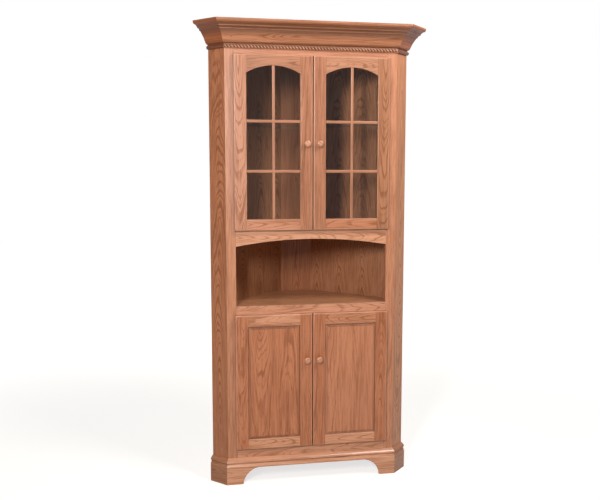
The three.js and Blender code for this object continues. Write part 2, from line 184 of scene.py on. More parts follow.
# Each board's tone: its share of the plain stained colour, and the boards that have it. Part of it is the
# boards' own colour, as they came from several trees and each takes the stain its own way. Part is painted
# light: the paler, whiter tones of the face frame's rails, several door rails and the base front paint
# sheen and highlight. The darker tones of the lower doors' stiles and panels, the left wing, the crown's
# returns, the rear board and the niche's ceiling paint shade, as do the greyer tones of the back walls
TONES_AND_PAINTED_LIGHT = (
    ((1.08, 1.28, 1.5), ("frame_arched_rail", "frame_bottom_rail", "lower_left_bottom_rail",
                         "lower_right_bottom_rail", "base_front")),
    ((1, 1.14, 1.34), ("frame_middle_rail", "lower_left_top_rail", "rope_moulding")),
    ((0.9, 0.98, 1.12), ("frame_top_rail", "upper_left_bottom_rail")),
    ((0.85, 0.93, 1.07), ("upper_left_hinge_stile",)),
    ((0.88, 0.92, 0.98), ("frame_stile_right",)),
    ((0.87, 0.92, 0.96), ("frame_stile_left",)),
    ((0.97, 1.18, 1.44), ("upper_left_knob", "upper_right_knob", "lower_left_knob", "lower_right_knob")),
    ((0.95, 0.95, 0.83), ("right_wing",)),
    ((0.87, 0.9, 0.94), ("lower_right_top_rail", "crown_front")),
    ((0.75, 0.85, 0.97), ("upper_right_top_rail",)),
    ((0.68, 0.73, 0.79), ("upper_left_top_rail",)),
    ((0.73, 0.73, 0.75), ("upper_left_grille", "upper_right_grille")),
    ((0.83, 0.82, 0.84), ("lower_right_panel", "upper_right_bottom_rail")),
    ((0.7, 0.71, 0.74), ("upper_left_meeting_stile", "upper_right_meeting_stile")),
    ((0.8, 0.73, 0.67), ("lower_left_hinge_stile", "lower_left_panel", "lower_left_meeting_stile",
                         "lower_right_meeting_stile", "lower_right_hinge_stile")),
    ((0.77, 0.72, 0.63), ("left_wing",)),
    ((0.67, 0.7, 0.68), ("upper_right_hinge_stile", "base_left", "base_right")),
    ((0.74, 0.53, 0.34), ("crown_right",)),
    ((0.6, 0.41, 0.18), ("crown_left",)),
    ((0.78, 0.92, 1), ("counter", "cabinet_floor", "lower_shelf", "top_panel")),
    ((0.67, 0.79, 0.84), ("left_back_wall",)),
    ((0.62, 0.69, 0.72), ("right_back_wall",)),
    ((0.54, 0.5, 0.41), ("rear_board",)),
    ((0.49, 0.5, 0.46), ("upper_deck",)),
)
TONE_AND_PAINTED_LIGHT_OF = {node: tone for tone, nodes in TONES_AND_PAINTED_LIGHT for node in nodes}

# Noises that are stretched along the grain: size across and along in millimetres, then detail
GRAIN = {
    "wander": (120, 700, 2), "ripple": (22, 190, 3), "patch": (70, 420, 2),
    "streak": (8, 300, 5), "fleck": (5, 45, 3), "pores": (1.1, 26, 2),
}
# How far two of them move the pith, in millimetres
PITH_DRIFT = (("wander", 44), ("ripple", 5))
# How fast growth changes from year to year, and by how many rings that moves a ring
GROWTH_PACE = 0.35
GROWTH_SHIFT = 2.6
# Shares of a ring: where its earlywood fades out, and where the next ring's sets in
RING_FADE = (0.04, 0.42)
RING_START = (0.9, 1)
# Noise at which flecks and pores begin and are full, and what flecks leave of the earlywood
FLECK_NOISE = (0.34, 0.6)
FLECK_SHARE = (0.35, 1.3)
PORE_NOISE = (0.52, 0.66)
# The share of the pores that latewood has, too
LATE_PORES = 0.4
# A ring's depth of colour: what a good year adds, and what a lean year has
SEASON = (1.2, 0.25)
# How much streaks, slow patches and pores darken the wood, and how much is taken off again for the mean
DARKENING = {"streak": (2.3, 0.96), "patch": (1, 0.45), "pores": (0.3, 0.06)}
# The pale colour of an arris and its share there: stain worn thin by sanding, and a painted highlight on
# the rounded edge
WEAR_AND_HIGHLIGHT_COLOUR = "F2C8AC"
WEAR_AND_HIGHLIGHT_SHARE = 0.22
# Pores blur the lacquer's gloss and sink under it, and the earlywood round them sinks less
PORE_BLUR = 0.16
PORE_DEPTH = 0.15 * MM
PORE_RELIEF = 0.5
EARLY_SINK = 0.35
# How staves are sawn: where along the log in millimetres, how widely the pith's distance and the lean
# vary, how much the shade does, and how far a leaf of veneer slips along, in millimetres
LOG_REACH = (1000, 9000)
SPREAD = (0.6, 1.4)
STAVE_SHADE = 0.05
LEAF_SLIP = 12

# The lacquer: how it bends light, how strongly the wood under it mirrors, and how rough its coat is
LACQUER_INDEX = 1.5
WOOD_MIRROR = 0.3
COAT_ROUGHNESS = 0.2
GLASS_INDEX = 1.5


def put(tree, kind, inputs=None, **settings):
    """Adds a node. Each input is a value, or the output that feeds it."""
    made = tree.nodes.new(kind)
    for name, value in settings.items():
        setattr(made, name, value)
    for name, value in (inputs or {}).items():
        if isinstance(value, bpy.types.NodeSocket):
            tree.links.new(value, made.inputs[name])
        else:
            made.inputs[name].default_value = value
    return made


def maths(tree, operation, *values):
    """The result of an operation on numbers or outputs."""
    return put(tree, "ShaderNodeMath", dict(enumerate(values)), operation=operation).outputs[0]


def vector_maths(tree, operation, *values):
    """The result of an operation on vectors or outputs."""
    return put(tree, "ShaderNodeVectorMath", dict(enumerate(values)), operation=operation).outputs[0]


def vector_length(tree, vector):
    """The length of a vector."""
    return put(tree, "ShaderNodeVectorMath", {0: vector}, operation="LENGTH").outputs["Value"]


def remap(tree, value, source, target=(0, 1), smooth=False):
    """Maps one range on another and stops at its ends."""
    ranges = {"Value": value, "From Min": source[0], "From Max": source[1],
              "To Min": target[0], "To Max": target[1]}
    kind = "SMOOTHSTEP" if smooth else "LINEAR"
    return put(tree, "ShaderNodeMapRange", ranges, interpolation_type=kind).outputs[0]


def toned(tree, code, marks, target):
    """A colour that follows a noise between two shares of its brightness."""
    tone = remap(tree, marks, (0, 1), target)
    return put(tree, "ShaderNodeVectorMath", {0: linear(code), "Scale": tone}, operation="SCALE").outputs[0]


def seen_rays(tree):
    """1 for a ray that the camera sees straight, mirrored or through glass, or else 0."""
    ray = put(tree, "ShaderNodeLightPath").outputs
    seen = maths(tree, "MAXIMUM", ray["Is Camera Ray"], ray["Is Glossy Ray"])
    return maths(tree, "MAXIMUM", seen, ray["Is Transmission Ray"])


def blank_material(name):
    """A new material with only its output node."""
    material = bpy.data.materials.new(name)
    material.use_nodes = True
    tree = material.node_tree
    tree.nodes.clear()
    return material, tree, tree.nodes.new("ShaderNodeOutputMaterial").inputs["Surface"]


def count_years(tree, place, noises, ring_width):
    """How many rings a point lies out from the pith, which wanders along the board."""
    centre = place
    for use, reach in PITH_DRIFT:
        shift = vector_maths(tree, "SUBTRACT", noises[use].outputs["Color"], (0.5, 0.5, 0.5))
        centre = vector_maths(tree, "MULTIPLY_ADD", shift, (reach, reach, 0), centre)
    years = maths(tree, "DIVIDE", vector_length(tree, vector_maths(tree, "MULTIPLY", centre, (1, 1, 0))),
                  ring_width)
    # Growth changes from year to year, so the rings aren't evenly spaced
    growth = put(tree, "ShaderNodeTexNoise", {"W": years, "Scale": GROWTH_PACE, "Detail": 1},
                 noise_dimensions="1D").outputs["Fac"]
    return maths(tree, "MULTIPLY_ADD", growth, GROWTH_SHIFT, years)


def ring_earlywood(tree, years, fleck):
    """Earlywood, darkest where a ring starts, and broken into flecks by groups of pores."""
    phase = maths(tree, "FRACT", years)
    fade = remap(tree, phase, RING_FADE, (1, 0), smooth=True)
    start = remap(tree, phase, RING_START, smooth=True)
    whole = maths(tree, "MAXIMUM", fade, start)
    return maths(tree, "MULTIPLY", whole, remap(tree, fleck, FLECK_NOISE, FLECK_SHARE))


def stained_oak(name, roughness, coat):
    """Red oak, plain-sawn, stained honey brown and sprayed with satin lacquer.

    The rings are nested cylinders round a wandering pith, so a flat face cuts them in arches and
    stripes. Pores are dark streaks, closest in the earlywood. The lacquer gives a soft even gloss.
    """
    oak = bpy.context.scene.cupboard_oak
    material, tree, surface = blank_material(name)
    place = put(tree, "ShaderNodeAttribute", attribute_name="board_mm").outputs["Vector"]
    board = put(tree, "ShaderNodeAttribute", attribute_name="board_colour")
    arris = put(tree, "ShaderNodeAttribute", attribute_name="arris").outputs["Fac"]
    noises = {}
    for use, (across, along, detail) in GRAIN.items():
        stretched = vector_maths(tree, "MULTIPLY", place, (1 / across, 1 / across, 1 / along))
        noises[use] = put(tree, "ShaderNodeTexNoise", {"Vector": stretched, "Scale": 1, "Detail": detail})

    years = count_years(tree, place, noises, oak.ring_width)
    early = ring_earlywood(tree, years, noises["fleck"].outputs["Fac"])
    pore_room = maths(tree, "MULTIPLY_ADD", early, 1 - LATE_PORES, LATE_PORES)
    pores = maths(tree, "MULTIPLY", remap(tree, noises["pores"].outputs["Fac"], PORE_NOISE), pore_room)

    # How dark the wood is: rings, each with a depth of its own, then streaks, slow patches and pores
    year = maths(tree, "ROUND", years)
    season = put(tree, "ShaderNodeTexWhiteNoise", {"W": year}, noise_dimensions="1D").outputs["Value"]
    figure = maths(tree, "MULTIPLY", board.outputs["Alpha"], oak.figure)
    strength = maths(tree, "MULTIPLY", figure, maths(tree, "MULTIPLY_ADD", season, *SEASON))
    dark = maths(tree, "MULTIPLY", early, strength)
    for use, (share, middle) in DARKENING.items():
        source = pores if use == "pores" else noises[use].outputs["Fac"]
        dark = maths(tree, "SUBTRACT", maths(tree, "MULTIPLY_ADD", source, share, dark), middle)
    wood = put(tree, "ShaderNodeMix", {"Factor": dark, "A": (*oak.latewood, 1), "B": (*oak.earlywood, 1)},
               data_type="RGBA", clamp_factor=True).outputs["Result"]
    stained = put(tree, "ShaderNodeMix", {"Factor": 1, "A": wood, "B": board.outputs["Color"]},
                  data_type="RGBA", blend_type="MULTIPLY").outputs["Result"]
    # Along an arris the colour is drawn paler: sanding wears the stain thinner, and the paleness paints a
    # highlight there too
    wear_and_highlight_mix = maths(tree, "MULTIPLY", arris, WEAR_AND_HIGHLIGHT_SHARE)
    rubbed = put(tree, "ShaderNodeMix", {"Factor": wear_and_highlight_mix, "A": stained, "B": (*linear(WEAR_AND_HIGHLIGHT_COLOUR), 1)},
                 data_type="RGBA").outputs["Result"]

    height = maths(tree, "MULTIPLY_ADD", early, EARLY_SINK, pores)
    relief = put(tree, "ShaderNodeBump", {"Height": height, "Strength": PORE_RELIEF,
                                          "Distance": PORE_DEPTH}, invert=True).outputs[0]
    shader = put(tree, "ShaderNodeBsdfPrincipled", {
        "Base Color": rubbed, "Roughness": maths(tree, "MULTIPLY_ADD", pores, PORE_BLUR, roughness),
        "Normal": relief, "IOR": LACQUER_INDEX, "Specular IOR Level": WOOD_MIRROR, "Coat Weight": coat,
        "Coat Roughness": COAT_ROUGHNESS,
    })
    tree.links.new(shader.outputs[0], surface)
    return material


def clear_glass(name, tint, gloss):
    """Float glass, rolled flat on molten tin: clear, faintly grey, with a sharp reflection.

    Most of it lets light straight through, so the shelves behind are lit as in a real case.
    """
    material, tree, surface = blank_material(name)
    through = put(tree, "ShaderNodeBsdfTransparent", {"Color": (*linear(tint), 1)}).outputs[0]
    mirror = put(tree, "ShaderNodeBsdfGlossy", {"Color": (1, 1, 1, 1), "Roughness": 0.02}).outputs[0]
    # Light isn't bent on its way in, so it meets the far side of the glass at the outer angle again, and
    # the index there is the inverse of the inverse that Fresnel would take
    far = put(tree, "ShaderNodeNewGeometry").outputs["Backfacing"]
    index = maths(tree, "MULTIPLY_ADD", far, 1 / GLASS_INDEX - GLASS_INDEX, GLASS_INDEX)
    rim = put(tree, "ShaderNodeFresnel", {"IOR": index}).outputs[0]
    share = maths(tree, "MULTIPLY", rim, gloss)
    mix = put(tree, "ShaderNodeMixShader", {0: share, 1: through, 2: mirror}).outputs[0]
    tree.links.new(mix, surface)
    return material


def ground_glass(name):
    """The ground edge of a glass shelf: opaque, with fine grinding scratches, and painted a warm grey-brown
    that stands in for the lit wood seen through the glass.
    """
    material, tree, surface = blank_material(name)
    place = put(tree, "ShaderNodeTexCoord").outputs["Object"]
    # Grinding marks 0.5 mm apart
    marks = put(tree, "ShaderNodeTexNoise", {"Vector": place, "Scale": 1 / (0.5 * MM),
                                             "Detail": 2}).outputs["Fac"]
    pale = toned(tree, "7A6552", marks, (0.8, 1.2))
    shader = put(tree, "ShaderNodeBsdfPrincipled", {"Base Color": pale, "Roughness": 0.6,
                                                    "IOR": GLASS_INDEX})
    tree.links.new(shader.outputs[0], surface)
    return material


def plated_steel(name):
    """Pressed steel with satin nickel plate: a warm grey metal with a fine brushed blur."""
    material, tree, surface = blank_material(name)
    place = put(tree, "ShaderNodeTexCoord").outputs["Object"]
    # Brush marks 0.4 mm apart and 12 mm long
    apart, along = 1 / (0.4 * MM), 1 / (12 * MM)
    brushed = put(tree, "ShaderNodeMapping", {"Vector": place, "Scale": (apart, along, apart)}).outputs[0]
    marks = put(tree, "ShaderNodeTexNoise", {"Vector": brushed, "Scale": 1, "Detail": 2}).outputs["Fac"]
    metal = toned(tree, "C9C5BC", marks, (0.85, 1.1))
    rough = maths(tree, "MULTIPLY_ADD", marks, 0.2, 0.2)
    relief = put(tree, "ShaderNodeBump", {"Height": marks, "Strength": 0.2,
                                          "Distance": 0.02 * MM}).outputs[0]
    shader = put(tree, "ShaderNodeBsdfPrincipled", {"Base Color": metal, "Metallic": 1,
                                                    "Roughness": rough, "Normal": relief})
    tree.links.new(shader.outputs[0], surface)
    return material


# How each finish is made: one for each slot of the record, one for the front of the base, which is
# rubbed brighter than the case, and one for the glass shelves' edges. Oak has its roughness and coat
FINISHES = {
    "frame_oak": (stained_oak, "satin lacquered oak, frame", 0.42, 0.6),
    "door_oak": (stained_oak, "satin lacquered oak, doors", 0.42, 0.4),
    "case_oak": (stained_oak, "satin lacquered oak, case", 0.45, 0.3),
    "base": (stained_oak, "rubbed lacquered oak, base", 0.4, 0.8),
    "panel_oak": (stained_oak, "satin lacquered oak veneer", 0.55, 0.08),
    "knob_oak": (stained_oak, "polished turned oak", 0.32, 0.5),
    "glass": (clear_glass, "float glass", "F9F9F8", 0.25),
    "ground_edge": (ground_glass, "ground glass edge"),
    "nickel": (plated_steel, "satin nickel plate"),
}


def material_for(finish):
    """The material of a finish, made the first time it is asked for."""
    make, name, *choices = FINISHES[finish]
    return bpy.data.materials.get(name) or make(name, *choices)


def add_object(name, data):
    """An object in the scene for a mesh, a lamp or a camera."""
    made = bpy.data.objects.new(name, data)
    bpy.context.scene.collection.objects.link(made)
    return made


def add_marks(bm):
    """Adds the layers that say how far a face is drawn paler along an arris, for wear and painted
    highlight, and how much darker, for heavier stain and painted shade.
    """
    for mark in ("arris", "drawn_darker"):
        bm.faces.layers.float.new(mark)


def solid_copy(node):
    """A welded copy of a node's solid, with its flat faces in one piece."""
    bm = bmesh.new()
    bm.from_mesh(NODES[node].data)
    bmesh.ops.remove_doubles(bm, verts=bm.verts, dist=WELD)
    bmesh.ops.dissolve_limit(bm, angle_limit=FLAT_ANGLE, verts=bm.verts, edges=bm.edges)
    add_marks(bm)
    return bm


def cut(bm, place, normal, gap=0.0):
    """Cuts every face along a plane and keeps both sides."""
    bmesh.ops.bisect_plane(bm, geom=bm.verts[:] + bm.edges[:] + bm.faces[:], dist=gap,
                           plane_co=place, plane_no=normal)


def round_edges(bm, radius, wanted=None, segments=2, wear_and_highlight=1.0):
    """Rounds the sharp edges, or those that a test picks, and marks the new faces to be drawn paler: stain
    worn thin and a painted highlight.
    """
    sharp = [
        edge for edge in bm.edges
        if edge.is_manifold and edge.calc_face_angle(0) > ARRIS_ANGLE and (wanted is None or wanted(edge))
    ]
    if not sharp:
        return
    made = bmesh.ops.bevel(bm, geom=sharp, offset=radius, offset_type="OFFSET", segments=segments,
                           profile=0.5, affect="EDGES", clamp_overlap=True, material=-1)
    layer = bm.faces.layers.float["arris"]
    for face in made["faces"]:
        face[layer] = wear_and_highlight


def darken_faces(bm, share, wanted):
    """Marks faces that are drawn darker: heavier stain, and painted shade on edges, flanks, bevels and
    hollows.
    """
    layer = bm.faces.layers.float["drawn_darker"]
    for face in bm.faces:
        if wanted(face):
            face[layer] = share


def saw_stave(name, stave, tone, pith, lean, matched, varied):
    """Where in its log a stave was sawn, in millimetres, how its grain leans, and its tint."""
    draw = random.Random(f"{name} {0 if matched else stave}")
    offset = Vector((
        draw.uniform(-1, 1) * pith[0],
        draw.choice((-1, 1)) * pith[1] * draw.uniform(*SPREAD),
        draw.uniform(*LOG_REACH),
    ))
    tilt = draw.choice((-1, 1)) * lean * draw.uniform(*SPREAD)
    own = random.Random(f"{name} shade {stave}")
    shade = 1 + (own.uniform(-STAVE_SHADE, STAVE_SHADE) if varied else 0)
    offset.z += own.uniform(-LEAF_SLIP, LEAF_SLIP)
    return offset, tilt, [part * shade for part in tone]


def mark_boards(bm, name, axes, tone, staves=1, figure=1.0, pith=ARCHED, lean=0.05, matched=False,
                belongs=None, stain_at=None):
    """Gives each face its place in its own board, in millimetres, and the board's colour.

    Wide panels are glued up from staves side by side, or laid with leaves of veneer that match.
    A test may pick the faces that belong to this board, and a function of the place may darken it.
    """
    across = axes[0]
    members = [face for face in bm.faces if belongs is None or belongs(face)]
    reaches = [across.dot(vert.co) for face in members for vert in face.verts]
    low, high = min(reaches), max(reaches)
    width = (high - low) / staves
    for joint in range(1, staves):
        cut(bm, across * (low + joint * width), across)
    if staves > 1:
        members = bm.faces[:]
    sawn = [saw_stave(name, stave, tone, pith, lean, matched, staves > 1) for stave in range(staves)]
    corners = bm_box(bm)
    middle = (corners[0] + corners[1]) / 2
    vectors, colours = bm.loops.layers.float_vector, bm.loops.layers.float_color
    place = vectors.get("board_mm") or vectors.new("board_mm")
    shade_layer = colours.get("board_colour") or colours.new("board_colour")
    drawn_darker = bm.faces.layers.float.get("drawn_darker")
    for face in members:
        share = (across.dot(face.calc_center_median()) - low) / width
        stave = min(max(int(share), 0), staves - 1)
        offset, tilt, tint = sawn[stave]
        centre = low + (stave + 0.5) * width
        for loop in face.loops:
            own = axes @ (loop.vert.co - middle) / MM
            own.x = (across.dot(loop.vert.co) - centre) / MM
            own.y += own.z * tilt
            loop[place] = own + offset
            # Drawn darker by the face's mark and by the darkening at its place, both partly stain and
            # partly painted shade
            depth = 1 - face[drawn_darker] - (stain_at(loop.vert.co) if stain_at else 0)
            loop[shade_layer] = (*(part * depth for part in tint), figure)


def bm_box(bm):
    """Lowest and highest corner of a bmesh."""
    corners = [[pick(vert.co[i] for vert in bm.verts) for i in range(3)] for pick in (min, max)]
    return Vector(corners[0]), Vector(corners[1])


def place_piece(bm, name, node, weighted=True, finish=None):
    """Turns a bmesh into the finished piece that stands for a node, riding on the node's body."""
    for face in bm.faces:
        face.smooth = True
    for edge in bm.edges:
        edge.smooth = edge.calc_face_angle(0) < SMOOTH_ANGLE
    mesh = bpy.data.meshes.new(name)
    bm.to_mesh(mesh)
    bm.free()
    piece = add_object(name, mesh)
    mesh.materials.append(material_for(finish or SLOT_OF[node]))
    if weighted:
        # The flat faces decide alone, so a highlight lies flat right up to their rounded edges
        modifier = piece.modifiers.new("Weighted Normal", "WEIGHTED_NORMAL")
        modifier.keep_sharp = True
        modifier.weight = 100
        modifier.thresh = SAME_AREA
    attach(piece, BODY_OF[node])
    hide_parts(node)
    return piece


def plain_board(node, suffix, axes, wear_and_highlight=1.0, finish=None, **choices):
    """Finishes a sawn and sanded board with small even arrises."""
    bm = solid_copy(node)
    round_edges(bm, bpy.context.scene.cupboard_sizes.board_arris, wear_and_highlight=wear_and_highlight)
    mark_boards(bm, node, axes, TONE_AND_PAINTED_LIGHT_OF[node], **choices)
    return place_piece(bm, f"{node}_{suffix}", node, finish=finish)


class CUPBOARD_OT_face_frame(bpy.types.Operator):
    """Finishes the stiles and rails of the face frame"""

    bl_idname = "cupboard.face_frame"
    bl_label = "Face Frame"

    def execute(self, context):
        for side in ("left", "right"):
            plain_board(f"frame_stile_{side}", "board", UPRIGHT, figure=0.6, pith=STRAIGHT)
        for rail in ("bottom", "middle", "arched", "top"):
            plain_board(f"frame_{rail}_rail", "board", LEVEL)
        return {"FINISHED"}


class CUPBOARD_OT_sides(bpy.types.Operator):
    """Finishes the canted wings, the veneered back walls and the rear board"""

    bl_idname = "cupboard.sides"
    bl_label = "Wings and Walls"

    def execute(self, context):
        for side, angle, figure in (("left", -CANT, 3), ("right", CANT, 1.4)):
            plain_board(f"{side}_wing", "board", turned(UPRIGHT, angle), figure=figure, lean=0.06)
            plain_board(f"{side}_back_wall", "veneer", turned(UPRIGHT, -angle), staves=4, lean=0.08,
                        figure=1.6, matched=True)
        plain_board("rear_board", "veneer", UPRIGHT, lean=0.06)
        return {"FINISHED"}


class CUPBOARD_OT_decks(bpy.types.Operator):
    """Finishes the floor, the shelves, the counter and the dust top"""

    bl_idname = "cupboard.decks"
    bl_label = "Decks and Shelves"

    def execute(self, context):
        for node in ("cabinet_floor", "lower_shelf", "counter", "upper_deck", "top_panel"):
            plain_board(node, "board", SHELF, staves=5, figure=0.6)
        return {"FINISHED"}


class CUPBOARD_OT_mouldings(bpy.types.Operator):
    """Finishes the crown and the base, mitred at both front corners"""

    bl_idname = "cupboard.mouldings"
    bl_label = "Crown and Base"

    # Height below the top of the crown, in millimetres, and the share darker: heavier stain in the quirks,
    # and painted shade under the overhanging parts of the profile
    crown_stain = (
        (0, 0.15), (15, 0.15), (20, 0.42), (44, 0.42), (58, 0.05), (70, -0.08), (84, 0), (90, 0.5),
    )

    def execute(self, context):
        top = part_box("crown_front")[1].z

        # Darkness by height: pooled stain and painted shade
        def stain(point):
            below = (top - point.z) / MM
            for (start, first), (end, last) in zip(self.crown_stain, self.crown_stain[1:]):
                if below < end:
                    return first + (last - first) * max(0, below - start) / (end - start)
            return last

        for place, angle in (("front", 0), ("left", -CANT), ("right", CANT)):
            plain_board(f"crown_{place}", "moulding", turned(LEVEL, angle), wear_and_highlight=0.2, lean=0.04,
                        stain_at=stain)
            plain_board(f"base_{place}", "moulding", turned(LEVEL, angle), lean=0.04,
                        finish="base" if place == "front" else None)
        return {"FINISHED"}


class CUPBOARD_OT_rope(bpy.types.Operator):
    """Carves the twisted rope under the crown"""

    bl_idname = "cupboard.rope"
    bl_label = "Carved Rope"

    fillet: length("Fillet", 4.5 * MM, "Height of the flat fillet above the rope")
    arc_steps: IntProperty(name="Arc steps", description="Facets over the half round", min=6, default=16)

    # How full a strand is, and how fast a valley deepens from the back of the bar forwards
    fullness = 1.6
    run_in = 3
    # How far above the axis the painted shade under the fillet sets in, as a share of the radius
    shade_start = 0.3

    def execute(self, context):
        sizes = context.scene.cupboard_sizes
        low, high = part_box("rope_moulding")
        radius = (high.z - low.z - self.fillet) / 2
        axis_y, axis_z = low.y + radius, low.z + radius
        slices = round((high.x - low.x) / sizes.rope_pitch) * sizes.rope_steps
        bm = self.draw_bar(low, high, radius, slices)

        # Two strands wind round the bar, so a strand falls by half its turn to the right
        valley = bm.verts.layers.float.new("valley")
        for vert in bm.verts:
            back = vert.co.y - low.y
            x = vert.co.x * (high.x - back * MITRE)
            y, z = vert.co.y - axis_y, vert.co.z - axis_z
            if y < TOUCH and abs(math.hypot(y, z) - radius) < TOUCH:
                angle = math.atan2(z, -y)
                strand = abs(math.cos(angle + math.pi * x / sizes.rope_pitch))
                ahead = min(1, self.run_in * max(0, math.cos(angle)))
                vert[valley] = (1 - strand ** self.fullness) * ahead
                y, z = (part * (1 - vert[valley] * sizes.rope_depth / radius) for part in (y, z))
            vert.co = (x, axis_y + y, axis_z + z)
        bmesh.ops.recalc_face_normals(bm, faces=bm.faces)
        mark_boards(bm, "rope", LEVEL, TONE_AND_PAINTED_LIGHT_OF["rope_moulding"], figure=0.4)

        # Painted shade: darkest deep in the valleys between the strands, where stain pools too, and on the
        # upper half under the fillet
        shade = bm.loops.layers.float_color["board_colour"]
        for loop in (loop for face in bm.faces for loop in face.loops):
            above = max(0, (loop.vert.co.z - axis_z) / radius - self.shade_start)
            depth = (1 - VALLEY_STAIN_AND_SHADE * loop.vert[valley]) * (1 - FILLET_SHADE * min(1, above))
            loop[shade] = (*(part * depth for part in loop[shade][:3]), loop[shade][3])
        place_piece(bm, "rope_carving", "rope_moulding", weighted=False)
        return {"FINISHED"}

    def draw_bar(self, low, high, radius, slices):
        """A half round under a fillet, from -1 to 1 along X and cut in slices."""
        section = [(high.y, low.z)]
        for step in range(self.arc_steps + 1):
            angle = math.pi * (step / self.arc_steps - 0.5)
            section.append((low.y + radius - radius * math.cos(angle),
                            low.z + radius + radius * math.sin(angle)))
        section += [(low.y + radius, high.z), (high.y, high.z)]
        bm = bmesh.new()
        add_marks(bm)
        ring = [bm.verts.new((-1, y, z)) for y, z in section]
        edges = [bm.edges.new((ring[i - 1], ring[i])) for i in range(len(ring))]
        bmesh.ops.contextual_create(bm, geom=edges)
        run = bmesh.ops.spin(bm, geom=edges, cent=(0, 0, 0), axis=(1, 0, 0), dvec=(2 / slices, 0, 0),
                             angle=0, steps=slices, use_merge=False)
        last = [part for part in run["geom_last"] if isinstance(part, bmesh.types.BMEdge)]
        bmesh.ops.contextual_create(bm, geom=last)
        return bm


def door_edges(door, stile, bottom, top):
    """Tests that pick a door's outer front edges, and the edges round the opening between its rails."""
    corners = [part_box(f"{door}_{member}_stile") for member in ("hinge", "meeting")]
    left, right = min(low.x for low, high in corners), max(high.x for low, high in corners)
    low, high = corners[0]

    def on_front(edge):
        return all(abs(vert.co.y - low.y) < TOUCH for vert in edge.verts)

    def outer(edge):
        return on_front(edge) and any(
            all(abs(vert.co[i] - plane) < TOUCH for vert in edge.verts)
            for i, plane in ((0, left), (0, right), (2, low.z), (2, high.z))
        )

    def inner(edge):
        return on_front(edge) and all(
            left + stile - MM < vert.co.x < right - stile + MM and bottom - MM < vert.co.z < top + MM
            for vert in edge.verts
        )

    return outer, inner


